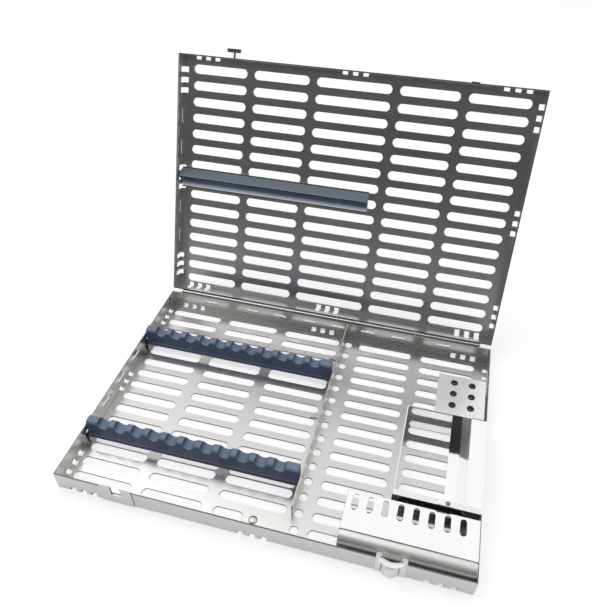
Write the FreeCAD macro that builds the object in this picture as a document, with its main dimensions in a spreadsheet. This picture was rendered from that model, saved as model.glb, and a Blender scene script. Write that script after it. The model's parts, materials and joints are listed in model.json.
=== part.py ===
import FreeCAD, Part
import os
import re
import Sketcher

# An instrument cassette: a shallow slotted steel tray and a slotted steel lid that
# stands open on two hinges along the rear edge. All sizes are in millimetres.
# Places are written from the tray's front left corner, x to the right and y to the
# rear, and moved so that the origin is the middle of the tray's underside.
SIZES = {
    # folded tray
    "width": 280,
    "depth": 198,
    "base_height": 15,
    "metal": 1,
    "thin_metal": 0.8,
    # lid and its hinge line
    "lid_height": 14,
    "lid_angle": 110.5,
    "lid_inset": 0.2,
    "rim_gap": 0.4,
    "hinge_offset": 1.6,
    "hinge_inset": 9,
    "knuckle_radius": 1.4,
    "knuckle_count": 5,
    "knuckle_gap": 0.3,
    "hinge_pin_radius": 0.7,
    "running_gap": 0.05,
    "tray_leaf_height": 2,
    "lid_leaf_height": 4,
    "stop_place": 26,
    "stop_near": 8.6,
    "stop_far": 12.4,
    "stop_root": 3,
    "stop_shoulder": 10,
    "stop_breadth": 3,
    # slots punched in the floor
    "slot_breadth": 6.9,
    "floor_first_row": 11,
    "floor_row_pitch": 12.5,
    "row_count": 15,
    "floor_margin": 5.5,
    "floor_slot": 44,
    "floor_middle_slot": 48,
    "floor_slot_gap": 7.8,
    "hole_land": 17.2,
    "land_hole_radius": 3.1,
    "cut_short_slot": 21,
    # slots punched in the lid
    "lid_first_row": 10.9,
    "lid_row_pitch": 12.76,
    "lid_margin": 8.4,
    "lid_slot": 45.1,
    "lid_middle_slot": 58.8,
    "lid_slot_gap": 6,
    # vents in the walls and along the folds
    "vent_length": 12,
    "vent_breadth": 2.6,
    "vent_pitch": 26,
    "rear_vent_count": 6,
    "outer_vent_place": 37.6,
    "outer_vent_height": 9.9,
    "side_vent_pitch": 25,
    "side_vent_first": 46,
    "side_vent_count": 5,
    "flange_vent_pitch": 25.5,
    "vent_height": 9,
    "notch_breadth": 4,
    "notch_reach": 3.5,
    "lid_notch_reach": 9.5,
    "notch_pitch": 8,
    "notch_inset": 20,
    # rails of soft silicone and the channels that hold them
    "rail_left": 2.6,
    "rail_length": 157,
    "rail_breadth": 8,
    "rail_top": 21.5,
    "rail_round": 3,
    "scallop_count": 11,
    "scallop_pitch": 13.1,
    "scallop_radius": 4.5,
    "front_rail_place": 39.8,
    "rear_rail_place": 137.6,
    "channel_lip": 5,
    "soft_gap": 0.3,
    # divider beside the instrument bay
    "divider_place": 161,
    "divider_height": 14,
    "divider_front": 20,
    "divider_foot": 8,
    "foot_breadth": 4,
    # bar of soft silicone in the lid
    "bar_left": 1.4,
    "bar_length": 161.5,
    "bar_breadth": 15,
    "bar_place": 92.4,
    "bar_flange": 1.6,
    "bar_height": 9,
    "bar_ridge_flat": 1.6,
    "bar_channel_lip": 2.4,
    # plate for burs
    "bur_left": 242,
    "bur_front": 118.4,
    "bur_width": 35,
    "bur_depth": 37.5,
    "bur_top": 20,
    "bur_hole_radius": 2.2,
    "bur_pitch_across": 13.3,
    "bur_pitch_back": 11.1,
    "bur_first_across": 11.8,
    "bur_first_back": 8.2,
    "grommet_bore": 1,
    "grommet_head": 2.7,
    "grommet_lift": 0.5,
    # rear accessory compartment
    "bay_left": 222.5,
    "bay_front": 44,
    "bay_rear": 115,
    "bay_top": 24,
    "shelf_left": 268,
    "shelf_foot_left": 264.4,
    "shelf_flange": 7.6,
    "bay_lip": 3.4,
    "side_gap": 0.3,
    # catch on the compartment's front lip
    "catch_place": 257.4,
    "catch_length": 11.4,
    "catch_breadth": 4.2,
    "catch_tail": 4,
    "catch_pin_radius": 0.8,
    "catch_head_radius": 1.6,
    "catch_head_height": 0.7,
    # front accessory box and its hinged, slotted cover
    "cover_left": 194.6,
    "cover_rear": 38,
    "cover_top": 20.4,
    "roll_radius": 7.4,
    "roll_front": 2.1,
    "roll_lap": 4,
    "cover_step": 0.8,
    "cover_slot_count": 8,
    "cover_slot_pitch": 9.7,
    "cover_slot_first": 10.2,
    "cover_slot_length": 11.5,
    "cover_slot_breadth": 4,
    "cover_slot_front": 24.4,
    "cheek_reach": 16,
    "pivot_radius": 1.2,
    "pivot_head": 2.2,
    "pivot_head_depth": 0.8,
    # spring latch on the right of the front wall
    "latch_place": 229,
    "latch_window": 11.6,
    "latch_breadth": 19,
    "latch_sill": 2,
    "latch_top": 22.6,
    "button_sill": 2.2,
    "button_height": 10.6,
    "button_rise": 3.2,
    "button_flange": 0.45,
    "flange_overlap": 1,
    "spring_sill": 14,
    "spring_height": 5.4,
    "spring_rise": 1.8,
    "spring_lap": 2,
    # receiver on the left of the front wall, and the stud that drops into it
    "receiver_place": 46.2,
    "receiver_notch": 7.4,
    "receiver_breadth": 23,
    "receiver_sill": 9.5,
    "receiver_top": 19,
    "stud_radius": 1.7,
    "stud_reach": 4,
    "stud_head": 11,
    "stud_head_depth": 2.8,
    "stud_head_height": 5,
    "stud_lift": 2.2,
    # tab on the lid that the latch holds
    "tab_breadth": 6,
    "tab_drop": 2.2,
    "tab_rise": 3.4,
    # small fittings on the floor
    "floor_stud_place": 137.3,
    "floor_stud_radius": 3.1,
    "floor_stud_height": 1.2,
    "floor_stud_shank": 1.5,
    "window_left": 178.8,
    "window_front": 3.8,
    "window_length": 10,
    "window_breadth": 2.4,
}

# places worked out from the driving sizes
HINGE_UP = "(base_height + rim_gap / 2)"
HINGE_BACK = "(depth + hinge_offset)"
LID_EDGE = "(rim_gap / 2)"
LID_DEPTH = "(depth - lid_inset)"
HALF_SLOT = "(slot_breadth / 2)"
HOLE_LINE = "(floor_margin + 2 * (floor_slot + floor_slot_gap) + floor_middle_slot + hole_land / 2 - 0.5)"
RIGHT_COLUMNS = "(floor_margin + 2 * (floor_slot + floor_slot_gap) + floor_middle_slot + hole_land)"
ROLL_BACK = "(roll_front + roll_radius)"
ROLL_UP = "(cover_top - thin_metal - roll_radius)"
COVER_RIGHT = "(width - metal - side_gap)"
HINGE_SPAN = "(width - 2 * hinge_inset)"
KNUCKLE_STEP = f"(({HINGE_SPAN} + knuckle_gap) / knuckle_count)"

# straight sides that stand for a half circle, or for a whole one
END_SIDES = 3
HOLE_SIDES = 8
SCALLOP_SIDES = 12

doc = FreeCAD.newDocument("instrument_cassette")
sheet = doc.addObject("Spreadsheet::Sheet", "sizes")
for line, (name, number) in enumerate(SIZES.items(), start=1):
    sheet.set(f"A{line}", name)
    sheet.set(f"B{line}", str(number))
    sheet.setAlias(f"B{line}", name)
doc.recompute()

pieces = []
WORD = re.compile(r"[a-z_]+")


def bind(thing, path, formula):
    """Ties a property or a constraint to a formula of the sheet's sizes."""
    def full_name(match):
        word = match.group()
        return "sizes." + word if word in SIZES else word
    thing.setExpression(path, WORD.sub(full_name, str(formula)))


def seat(thing, across, back, up):
    """Places a thing in the tray's frame."""
    bind(thing, "Placement.Base.x", f"{across} - width / 2")
    bind(thing, "Placement.Base.y", f"{back} - depth / 2")
    bind(thing, "Placement.Base.z", up)
    return thing


def hang(thing, across, out, lift, turn="180 - lid_angle"):
    """Places a thing in the lid's frame: out from the hinge line, lift to the inside."""
    x_axis = FreeCAD.Vector(1, 0, 0)
    thing.Placement = FreeCAD.Placement(FreeCAD.Vector(), FreeCAD.Rotation(x_axis, 45))
    bind(thing, "Placement.Rotation.Angle", turn)
    bind(thing, "Placement.Base.x", f"{across} - width / 2")
    back = f"depth / 2 + hinge_offset - ({out}) * cos(lid_angle) - ({lift}) * sin(lid_angle)"
    bind(thing, "Placement.Base.y", back)
    bind(thing, "Placement.Base.z", f"{HINGE_UP} + ({out}) * sin(lid_angle) - ({lift}) * cos(lid_angle)")
    return thing


def keep(thing, label):
    """Makes a thing one of the cassette's sub-parts."""
    thing.Label = label
    pieces.append(thing)
    return thing


def box(length, breadth, height):
    """A plain block with its three sides bound."""
    block = doc.addObject("Part::Box", "block")
    bind(block, "Length", length)
    bind(block, "Width", breadth)
    bind(block, "Height", height)
    return block


def rod(radius, length):
    """A round rod along its own z."""
    round_bar = doc.addObject("Part::Cylinder", "rod")
    bind(round_bar, "Radius", radius)
    bind(round_bar, "Height", length)
    return round_bar


def prism(radius, length):
    """An upright bar with as many sides as a round hole is drawn with."""
    bar = doc.addObject("Part::Prism", "prism")
    bar.Polygon = HOLE_SIDES
    bind(bar, "Circumradius", radius)
    bind(bar, "Height", length)
    return bar


def lay_across(round_bar):
    """Turns a rod so that it runs along x."""
    y_axis = FreeCAD.Vector(0, 1, 0)
    round_bar.Placement = FreeCAD.Placement(FreeCAD.Vector(), FreeCAD.Rotation(y_axis, 90))
    return round_bar


def cut(whole, tool):
    result = doc.addObject("Part::Cut", "cut")
    result.Base = whole
    result.Tool = tool
    return result


def fuse(*things):
    result = doc.addObject("Part::MultiFuse", "joined")
    result.Shapes = list(things)
    return result


def group(*things):
    """Several separate solids that share one sub-part."""
    result = doc.addObject("Part::Compound", "set")
    result.Links = list(things)
    return result


def new_sketch(body, plane):
    """An empty sketch on one of the body's own planes."""
    sketch = body.newObject("Sketcher::SketchObject", "sketch")
    support = [face for face in body.Origin.OriginFeatures if face.Role == plane + "_Plane"][0]
    sketch.AttachmentSupport = [(support, "")]
    sketch.MapMode = "FlatFace"
    return sketch


def fix_points(sketch, points):
    """Ties points to the sketch's origin. A distance of None puts a point on that axis."""
    constraints = []
    formulas = {}
    first = sketch.ConstraintCount
    for geometry, vertex, across, up in points:
        for kind, axis, distance in (("DistanceX", -2, across), ("DistanceY", -1, up)):
            if distance is None:
                constraints.append(Sketcher.Constraint("PointOnObject", geometry, vertex, axis))
                continue
            formulas[first + len(constraints)] = distance
            constraints.append(Sketcher.Constraint(kind, -1, 1, geometry, vertex, 10.0))
    sketch.addConstraint(constraints)
    for number, formula in formulas.items():
        bind(sketch, f"Constraints[{number}]", formula)


def add_outline(sketch, corners):
    """A closed outline of straight lines whose corners are bound one by one."""
    count = len(corners)
    first = sketch.GeometryCount
    ring = [FreeCAD.Vector(*guess, 0) for guess, _ in corners]
    sketch.addGeometry([Part.LineSegment(here, there) for here, there in zip(ring, ring[1:] + ring[:1])], False)
    joints = []
    for step in range(count):
        joints.append(Sketcher.Constraint("Coincident", first + step, 2, first + (step + 1) % count, 1))
    sketch.addConstraint(joints)
    fix_points(sketch, [(first + step, 1, *place) for step, (_, place) in enumerate(corners)])


def add_rectangle(sketch, left, low, right, high):
    corners = [((1, 1), (left, low)), ((9, 1), (right, low)), ((9, 6), (right, high)), ((1, 6), (left, high))]
    add_outline(sketch, corners)


def arc_corners(across, up, radius, start, sweep, sides, drawn_at=(20, 20)):
    """Corners along an arc about a centre. Angles are counted from the sketch's x axis."""
    corners = []
    for step in range(sides + 1):
        angle = start + sweep * step / sides
        turned = FreeCAD.Rotation(FreeCAD.Vector(0, 0, 1), angle).multVec(FreeCAD.Vector(3, 0, 0))
        place = (f"({across}) + ({radius}) * cos({angle})", f"({up}) + ({radius}) * sin({angle})")
        corners.append(((drawn_at[0] + turned.x, drawn_at[1] + turned.y), place))
    return corners


def add_slot(sketch, left, level, length, breadth):
    """A round-ended slot along x. Left and level place the middle of its first round end."""
    near = arc_corners(left, level, f"({breadth}) / 2", 90, 180, END_SIDES)
    end = f"({left}) + ({length}) - ({breadth})"
    far = arc_corners(end, level, f"({breadth}) / 2", -90, 180, END_SIDES, drawn_at=(40, 20))
    add_outline(sketch, near + far)


def add_upright_slot(sketch, across, low, length, breadth):
    """A round-ended slot along y. Across and low place the middle of its lower round end."""
    lower = arc_corners(across, low, f"({breadth}) / 2", 180, 180, END_SIDES)
    end = f"({low}) + ({length}) - ({breadth})"
    upper = arc_corners(across, end, f"({breadth}) / 2", 0, 180, END_SIDES, drawn_at=(20, 40))
    add_outline(sketch, lower + upper)


def add_round_hole(sketch, across, up, radius, sides=HOLE_SIDES):
    """A round hole drawn with straight sides."""
    add_outline(sketch, arc_corners(across, up, radius, 0, 360, sides)[:-1])


def add_circle(sketch, across, up, radius):
    """A true round bore, for what turns or sits tightly in it."""
    hole = Part.Circle(FreeCAD.Vector(20, 20, 0), FreeCAD.Vector(0, 0, 1), 3)
    number = sketch.addGeometry(hole, False)
    fix_points(sketch, [(number, 3, across, up)])
    constraint = sketch.addConstraint(Sketcher.Constraint("Radius", number, 3.0))
    bind(sketch, f"Constraints[{constraint}]", radius)


def pad(body, sketch, length, plane):
    """Thickens a sketch towards +x, +y or +z."""
    solid = body.newObject("PartDesign::Pad", "pad")
    solid.Profile = sketch
    solid.Reversed = plane == "XZ"
    bind(solid, "Length", length)
    return solid


def pocket(body, sketch, length, plane):
    """Cuts a sketch into the solid on the side that the pads are on."""
    hollow = body.newObject("PartDesign::Pocket", "pocket")
    hollow.Profile = sketch
    hollow.Reversed = plane != "XZ"
    hollow.Refine = False
    bind(hollow, "Length", length)
    body.Tip = hollow
    return hollow


def repeat(body, feature, axis, pitch, count):
    """Repeats a pocket in a straight row along one axis of its sketch."""
    row = body.newObject("PartDesign::LinearPattern", "row")
    row.Originals = [feature]
    row.Direction = (feature.Profile[0], [axis])
    row.Refine = False
    bind(row, "Length", f"({pitch}) * (({count}) - 1)")
    bind(row, "Occurrences", count)
    body.Tip = row
    return row


def sheet_body(plane, length, breadth, thickness):
    """A flat sheet of metal in one of its own planes, from its corner at the origin."""
    body = doc.addObject("PartDesign::Body", "sheet")
    outline = new_sketch(body, plane)
    add_rectangle(outline, None, None, length, breadth)
    pad(body, outline, thickness, plane)
    return body


def profile_body(plane, corners, length):
    """A straight folded strip: an outline thickened along the third axis."""
    body = doc.addObject("PartDesign::Body", "strip")
    outline = new_sketch(body, plane)
    add_outline(outline, corners)
    pad(body, outline, length, plane)
    return body


def cut_slots(body, plane, slots, level, breadth, axis, pitch, count):
    """Rows of round-ended slots through a sheet. Each slot is its first centre and length."""
    drawing = new_sketch(body, plane)
    for left, length in slots:
        add_slot(drawing, left, level, length, breadth)
    repeat(body, pocket(body, drawing, "metal", plane), axis, pitch, count)


def cut_vents(body, plane, middle, level, pitch, count):
    """A row of short slots in a wall, from the middle of the first one."""
    start = f"{middle} - vent_length / 2 + vent_breadth / 2"
    cut_slots(body, plane, [(start, "vent_length")], level, "vent_breadth", "H_Axis", pitch, count)


def cut_notches(body, plane, along, bands, span, axis):
    """Groups of three notches along an edge, or along two facing edges, of a sheet."""
    drawing = new_sketch(body, plane)
    for step in (-1, 0, 1):
        middle = f"notch_inset + {step} * notch_pitch - {along}"
        start = f"{middle} - notch_breadth / 2"
        end = f"{middle} + notch_breadth / 2"
        for low, high in bands:
            if axis == "H_Axis":
                add_rectangle(drawing, start, low, end, high)
            else:
                add_rectangle(drawing, low, start, high, end)
    first = pocket(body, drawing, "metal", plane)
    repeat(body, first, axis, f"({span} - 2 * notch_inset) / 2", "3")


def notch_all_edges(body, deep):
    """Notches along the four edges of a floor or a panel."""
    near = (None, "notch_reach - metal")
    cut_notches(body, "XY", "metal", (near, (f"{deep} - metal - notch_reach", f"{deep} - 2 * metal")),
                "width", "H_Axis")
    cut_notches(body, "XY", "metal", (near, ("width - metal - notch_reach", "width - 2 * metal")),
                deep, "V_Axis")


def base_floor():
    """The tray's slotted floor, with one column of round holes beside the middle."""
    body = sheet_body("XY", "width - 2 * metal", "depth - 2 * metal", "metal")
    notch_all_edges(body, "depth")
    level = "floor_first_row - metal"
    step = "(floor_slot + floor_slot_gap)"
    start = f"floor_margin - metal + {HALF_SLOT}"
    far = f"{RIGHT_COLUMNS} - metal + {HALF_SLOT}"
    middle = f"{start} + 2 * {step}"
    singles = new_sketch(body, "XY")
    add_slot(singles, middle, level, "cut_short_slot", "slot_breadth")
    add_circle(singles, "floor_stud_place - metal", level, "floor_stud_shank + running_gap")
    add_rectangle(singles, "window_left - metal", "window_front - metal",
                  "window_left - metal + window_length", "window_front - metal + window_breadth")
    pocket(body, singles, "metal", "XY")
    cut_slots(body, "XY", [(middle, "floor_middle_slot")], f"{level} + floor_row_pitch", "slot_breadth",
              "V_Axis", "floor_row_pitch", "row_count - 1")
    rows = new_sketch(body, "XY")
    for left in (start, f"{start} + {step}", far, f"{far} + {step}"):
        add_slot(rows, left, level, "floor_slot", "slot_breadth")
    add_round_hole(rows, f"{HOLE_LINE} - metal", level, "land_hole_radius")
    repeat(body, pocket(body, rows, "metal", "XY"), "V_Axis", "floor_row_pitch", "row_count")
    keep(seat(body, "metal", "metal", "0"), "base_floor")


def base_front_wall():
    """The plain front wall with openings for the latch and for the receiver."""
    body = sheet_body("XZ", "width", "base_height", "metal")
    openings = new_sketch(body, "XZ")
    for place, breadth, sill in (
        ("latch_place", "(latch_window + 2 * flange_overlap + 2 * soft_gap)", "button_sill - flange_overlap - soft_gap"),
        ("receiver_place", "receiver_notch", "receiver_sill"),
    ):
        add_rectangle(openings, f"{place} - {breadth} / 2", sill, f"{place} + {breadth} / 2", "base_height")
    pocket(body, openings, "metal", "XZ")
    cut_notches(body, "XZ", "0", [(None, "notch_reach")], "width", "H_Axis")
    keep(seat(body, "0", "0", "0"), "base_front_wall")


def base_rear_wall():
    body = sheet_body("XZ", "width", "base_height", "metal")
    first = "width / 2 - (rear_vent_count - 1) / 2 * vent_pitch"
    cut_vents(body, "XZ", first, "vent_height", "vent_pitch", "rear_vent_count")
    cut_vents(body, "XZ", "outer_vent_place", "outer_vent_height", "width - 2 * outer_vent_place", "2")
    cut_notches(body, "XZ", "0", [(None, "notch_reach")], "width", "H_Axis")
    keep(seat(body, "0", "depth - metal", "0"), "base_rear_wall")


def base_side_wall(label, across):
    """A side wall with its row of vents."""
    body = sheet_body("YZ", "depth - 2 * metal", "base_height", "metal")
    cut_vents(body, "YZ", "side_vent_first - metal", "vent_height", "side_vent_pitch", "side_vent_count")
    cut_notches(body, "YZ", "metal", [(None, "notch_reach")], "depth", "H_Axis")
    keep(seat(body, across, "metal", "0"), label)


def lid_panel():
    """The lid's slotted panel. It lies behind the flanges, away from the inside."""
    body = sheet_body("XY", "width - 2 * metal", f"{LID_DEPTH} - 2 * metal", "metal")
    notch_all_edges(body, LID_DEPTH)
    level = f"{LID_DEPTH} - lid_first_row - (row_count - 1) * lid_row_pitch - metal"
    step = "(lid_slot + lid_slot_gap)"
    start = f"lid_margin - metal + {HALF_SLOT}"
    far = f"{start} + 2 * {step} + lid_middle_slot + lid_slot_gap"
    columns = [
        (start, "lid_slot"),
        (f"{start} + {step}", "lid_slot"),
        (f"{start} + 2 * {step}", "lid_middle_slot"),
        (far, "lid_slot"),
        (f"{far} + {step}", "lid_slot"),
    ]
    cut_slots(body, "XY", columns, level, "slot_breadth", "V_Axis", "lid_row_pitch", "row_count")
    keep(hang(body, "metal", "hinge_offset + metal", f"-lid_height - {LID_EDGE}"), "lid_panel")


def lid_long_flange(label, out):
    """The lid's flange along the hinge line or along the free edge."""
    body = sheet_body("XZ", "width", "lid_height", "metal")
    cut_notches(body, "XZ", "0", [(None, "lid_notch_reach")], "width", "H_Axis")
    keep(hang(body, "0", out, f"-lid_height - {LID_EDGE}"), label)


def lid_side_flange(label, across):
    """A side flange of the lid with its slim vents, in pairs between the notches."""
    body = sheet_body("YZ", f"{LID_DEPTH} - 2 * metal", "lid_height", "metal")
    middle = f"{LID_DEPTH} / 2 - metal"
    for first in (f"{middle} - 2 * flange_vent_pitch", f"{middle} + flange_vent_pitch"):
        cut_vents(body, "YZ", first, "lid_height / 2 - 2", "flange_vent_pitch", "2")
    cut_notches(body, "YZ", "metal", [(None, "lid_notch_reach")], LID_DEPTH, "H_Axis")
    keep(hang(body, across, "hinge_offset + metal", f"-lid_height - {LID_EDGE}"), label)


def knuckles(first, placer, out, radius):
    """Every second knuckle of the hinge, each on its web, and the bore through them."""
    length = f"({KNUCKLE_STEP} - knuckle_gap)"
    parts = []
    for step in range(first, SIZES["knuckle_count"], 2):
        place = f"hinge_inset + {step} * {KNUCKLE_STEP}"
        web = box(length, "thin_metal", "knuckle_radius + knuckle_gap + thin_metal")
        parts.append(placer(web, place, out, "- knuckle_radius - knuckle_gap - thin_metal"))
        tube = lay_across(rod("knuckle_radius", length))
        parts.append(seat(tube, place, HINGE_BACK, HINGE_UP))
    bore = lay_across(rod(radius, f"{HINGE_SPAN} + 2"))
    seat(bore, "hinge_inset - 1", HINGE_BACK, HINGE_UP)
    return parts, bore


def base_hinges():
    """A narrow leaf along the rear wall with the tray's half of the knuckles."""
    def on_wall(thing, across, back, up):
        return seat(thing, across, back, f"{HINGE_UP} {up}")
    parts, bore = knuckles(0, on_wall, "depth", "hinge_pin_radius")
    leaf = box(HINGE_SPAN, "thin_metal", "tray_leaf_height")
    on_wall(leaf, "hinge_inset", "depth", "- knuckle_radius - knuckle_gap - tray_leaf_height")
    keep(cut(fuse(leaf, *parts), bore), "base_hinges")


def lid_hinges():
    """A leaf along the lid's rear flange with the lid's half of the knuckles."""
    out = "hinge_offset - thin_metal"
    parts, bore = knuckles(1, hang, out, "hinge_pin_radius + running_gap")
    leaf = box(HINGE_SPAN, "thin_metal", "lid_leaf_height")
    hang(leaf, "hinge_inset", out, "- knuckle_radius - knuckle_gap - lid_leaf_height")
    keep(cut(fuse(leaf, *parts), bore), "lid_hinges")


def hinge_pins():
    """The one long pin of the hinge."""
    pin = lay_across(rod("hinge_pin_radius", f"{HINGE_SPAN} + metal"))
    keep(seat(pin, "hinge_inset - metal / 2", HINGE_BACK, HINGE_UP), "hinge_pins")


def lid_stops():
    """Two gussets behind the rear wall. The open lid's flange comes down on their tops."""
    def below(back):
        out = f"({HINGE_UP} + hinge_offset / cos(lid_angle - 90) - ({back} - hinge_offset) * tan(lid_angle - 90))"
        return f"{out} - running_gap"
    corners = [
        ((0, 3), (None, "stop_root")), ((12, 10), ("stop_far", f"{below('stop_far')} - thin_metal")),
        ((12, 13), ("stop_far", below("stop_far"))), ((8, 15), ("stop_near", below("stop_near"))),
        ((0, 10), (None, "stop_shoulder")),
    ]
    lugs = []
    for side in ("-", "+"):
        lug = profile_body("YZ", corners, "stop_breadth")
        lugs.append(seat(lug, f"width / 2 {side} stop_place - stop_breadth / 2", "depth", "0"))
    keep(group(*lugs), "lid_stops")


def silicone_rail(label, place):
    """A soft rail with a rounded back and a row of scallops for the handles."""
    high = "(rail_top - metal - thin_metal - soft_gap)"
    shoulder = f"{high} - rail_round"
    corners = [((0, 0), (None, None)), ((40, 0), ("rail_breadth", None))]
    corners += arc_corners("rail_breadth - rail_round", shoulder, "rail_round", 0, 90, 2, drawn_at=(40, 20))
    corners += arc_corners("rail_round", shoulder, "rail_round", 90, 90, 2)
    body = profile_body("YZ", corners, "rail_length")
    drawing = new_sketch(body, "XZ")
    first = "(rail_length - (scallop_count - 1) * scallop_pitch) / 2"
    add_round_hole(drawing, first, high, "scallop_radius", SCALLOP_SIDES)
    repeat(body, pocket(body, drawing, "rail_breadth", "XZ"), "H_Axis", "scallop_pitch", "scallop_count")
    up = "metal + thin_metal + soft_gap"
    keep(seat(body, "rail_left", f"{place} + thin_metal + soft_gap", up), label)


def channel_strip(far, lip, length):
    """A folded steel channel, open at the top."""
    corners = [
        ((0, 0), (None, None)), ((10, 0), (far, None)), ((10, 5), (far, lip)), ((9, 5), (f"{far} - thin_metal", lip)),
        ((9, 1), (f"{far} - thin_metal", "thin_metal")), ((1, 1), ("thin_metal", "thin_metal")),
        ((1, 5), ("thin_metal", lip)), ((0, 5), (None, lip)),
    ]
    return profile_body("YZ", corners, length)


def rail_channel(label, place):
    """The steel channel that grips the foot of a rail."""
    far = "(rail_breadth + 2 * soft_gap + 2 * thin_metal)"
    keep(seat(channel_strip(far, "channel_lip", "rail_length"), "rail_left", place, "metal"), label)


def divider():
    """An upright strip beside the instrument bay, with three small feet on the floor."""
    strip = sheet_body("YZ", "depth - metal - divider_front", "divider_height", "thin_metal")
    parts = [seat(strip, "divider_place", "divider_front", "metal")]
    for row in (3.5, 7.5, 12.5):
        foot = box("divider_foot", "foot_breadth", "thin_metal")
        back = f"floor_first_row + {row} * floor_row_pitch - foot_breadth / 2"
        parts.append(seat(foot, "divider_place - divider_foot", back, "metal"))
    keep(fuse(*parts), "divider")


def lid_bar():
    """The soft bar that presses on the instruments, and the channel that holds it."""
    corners = [
        ((0, 0), (None, None)), ((15, 0), ("bar_breadth", None)), ((15, 2), ("bar_breadth", "bar_flange")),
        ((11, 9), ("bar_breadth * 0.62 + bar_ridge_flat / 2", "bar_height")),
        ((9, 9), ("bar_breadth * 0.62 - bar_ridge_flat / 2", "bar_height")),
        ((5, 3), ("bar_breadth * 0.36", "bar_flange * 1.9")), ((0, 1), (None, "bar_flange")),
    ]
    strip = profile_body("YZ", corners, "bar_length")
    inner = f"(metal - lid_height - {LID_EDGE})"
    edge = "thin_metal + soft_gap"
    keep(hang(strip, "bar_left", f"bar_place + {edge}", f"{inner} + {edge}"), "lid_bar")
    trough = channel_strip("(bar_breadth + 2 * soft_gap + 2 * thin_metal)", "bar_channel_lip", "bar_length")
    keep(hang(trough, "bar_left", "bar_place", inner), "lid_bar_channel")


def bur_plate():
    """A folded stand whose top is pierced for six burs."""
    high = "bur_top - metal"
    corners = [
        ((0, 0), (None, None)), ((1, 0), ("thin_metal", None)), ((1, 9), ("thin_metal", f"{high} - thin_metal")),
        ((19, 9), ("bur_width - thin_metal", f"{high} - thin_metal")), ((19, 0), ("bur_width - thin_metal", None)),
        ((20, 0), ("bur_width", None)), ((20, 10), ("bur_width", high)), ((0, 10), (None, high)),
    ]
    body = profile_body("XZ", corners, "bur_depth")
    holes = new_sketch(body, "XY")
    for step in (0, 1):
        add_round_hole(holes, f"bur_first_across + {step} * bur_pitch_across", "bur_first_back", "bur_hole_radius")
    repeat(body, pocket(body, holes, high, "XY"), "V_Axis", "bur_pitch_back", "3")
    keep(seat(body, "bur_left", "bur_front", "metal"), "bur_plate")


def bur_grommets():
    """Soft rings in the plate's holes."""
    rings = []
    for column in (0, 1):
        for row in (0, 1, 2):
            across = f"bur_left + bur_first_across + {column} * bur_pitch_across"
            back = f"bur_front + bur_first_back + {row} * bur_pitch_back"
            sleeve = prism("bur_hole_radius - running_gap", "2 * thin_metal + running_gap")
            seat(sleeve, across, back, "bur_top - 2 * thin_metal")
            head = seat(prism("grommet_head", "grommet_lift"), across, back, "bur_top + running_gap")
            bore = seat(prism("grommet_bore", "bur_top"), across, back, "bur_top / 2")
            rings.append(cut(fuse(sleeve, head), bore))
    keep(group(*rings), "bur_grommets")


def accessory_walls():
    """The four walls of the rear accessory compartment, each a folded strip."""
    tall = "bay_top - metal"
    run = "(bay_rear - bay_front)"
    left = sheet_body("YZ", run, tall, "thin_metal")
    keep(seat(left, "bay_left", "bay_front", "metal"), "accessory_left_wall")
    inside = "(shelf_left - bay_left - thin_metal)"
    rear = sheet_body("XZ", inside, tall, "thin_metal")
    keep(seat(rear, "bay_left + thin_metal", "bay_rear - thin_metal", "metal"), "accessory_rear_wall")
    lip = "bay_lip"
    corners = [
        ((3, 0), (lip, None)), ((4, 0), (f"{lip} + thin_metal", None)), ((4, 9), (f"{lip} + thin_metal", tall)),
        ((0, 9), (None, tall)), ((0, 8), (None, f"{tall} - thin_metal")), ((3, 8), (lip, f"{tall} - thin_metal")),
    ]
    front = profile_body("YZ", corners, f"{COVER_RIGHT} - bay_left")
    hole = new_sketch(front, "XY")
    add_circle(hole, "catch_place - bay_left", "bay_lip / 2", "catch_pin_radius")
    pocket(front, hole, tall, "XY")
    keep(seat(front, "bay_left", "bay_front - bay_lip - thin_metal", "metal"), "accessory_front_wall")
    left_edge = "(shelf_foot_left - shelf_flange)"
    top = f"(shelf_left - {left_edge})"
    shelf = f"({COVER_RIGHT} - {left_edge})"
    corners = [
        ((0, 0), (None, None)), ((6, 0), ("shelf_flange + thin_metal", None)),
        ((9, 8), (f"{top} + thin_metal", f"{tall} - thin_metal")), ((20, 8), (shelf, f"{tall} - thin_metal")),
        ((20, 9), (shelf, tall)), ((8, 9), (top, tall)), ((5, 1), ("shelf_flange", "thin_metal")),
        ((0, 1), (None, "thin_metal")),
    ]
    right = profile_body("XZ", corners, f"{run} - thin_metal")
    keep(seat(right, left_edge, "bay_front", "metal"), "accessory_right_shelf")


def catch():
    """A small turning tab on the compartment's front lip, and its rivet."""
    back = "(bay_front - thin_metal - bay_lip / 2)"
    level = "(bay_top + running_gap)"
    tab = seat(box("catch_length", "catch_breadth", "thin_metal"), "catch_place + catch_tail - catch_length",
               f"{back} - catch_breadth / 2", level)
    bore = seat(rod("catch_pin_radius + running_gap", "4 * thin_metal"), "catch_place", back, "bay_top - thin_metal")
    keep(cut(tab, bore), "catch_tab")
    low = "(bay_top - 2 * thin_metal)"
    high = f"({level} + thin_metal + running_gap)"
    shank = seat(rod("catch_pin_radius", f"{high} - {low} + catch_head_height / 2"), "catch_place", back, low)
    head = seat(rod("catch_head_radius", "catch_head_height"), "catch_place", back, high)
    keep(fuse(shank, head), "catch_rivet")


def round_plate(left, thickness, back_end, low, radius):
    """An upright plate whose front is rounded about the cover's pivot."""
    disc = seat(lay_across(rod(radius, thickness)), left, ROLL_BACK, ROLL_UP)
    block = box(thickness, f"{back_end} - {ROLL_BACK}", f"{radius} + {ROLL_UP} - {low}")
    seat(block, left, ROLL_BACK, low)
    return fuse(disc, block)


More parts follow.
